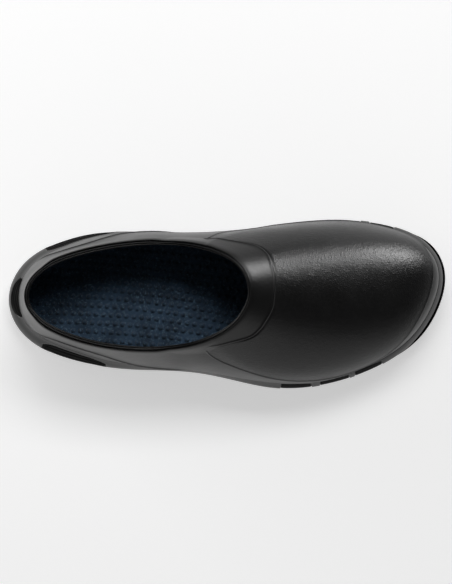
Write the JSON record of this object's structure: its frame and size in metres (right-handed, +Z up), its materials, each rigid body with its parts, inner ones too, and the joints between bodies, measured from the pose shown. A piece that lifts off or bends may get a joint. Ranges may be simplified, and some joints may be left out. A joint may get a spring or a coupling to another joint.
{
  "type": "chef clog",
  "caption": "Closed-back slip-on kitchen clog for the right foot, with a moulded foam shell, a lugged rubber outsole with grip pads in its sides, and a nubbed insole.",
  "frame": {"origin": "on the floor, under the middle of the shoe's box", "axes": "+X from heel to toe, +Y towards the inner (medial) side, +Z up"},
  "size_m": [0.2892, 0.1124, 0.0915],
  "materials": {
    "foam": "black moulded foam, satin, with a fine leather-like grain on the vamp",
    "rubber": "black matt rubber",
    "cloth": "dark blue speckled woven top with small raised nubs"
  },
  "bodies": {
    "root": {"upper": "foam", "midsole": "foam", "outsole": "rubber", "insole": "cloth", "heel_pad_back": "rubber", "heel_pad_lateral": "rubber", "heel_pad_medial": "rubber", "side_pad_lateral_back": "rubber", "side_pad_lateral_middle": "rubber", "side_pad_lateral_front": "rubber", "side_pad_medial_back": "rubber", "side_pad_medial_middle": "rubber", "side_pad_medial_front": "rubber"}
  },
  "joints": []
}
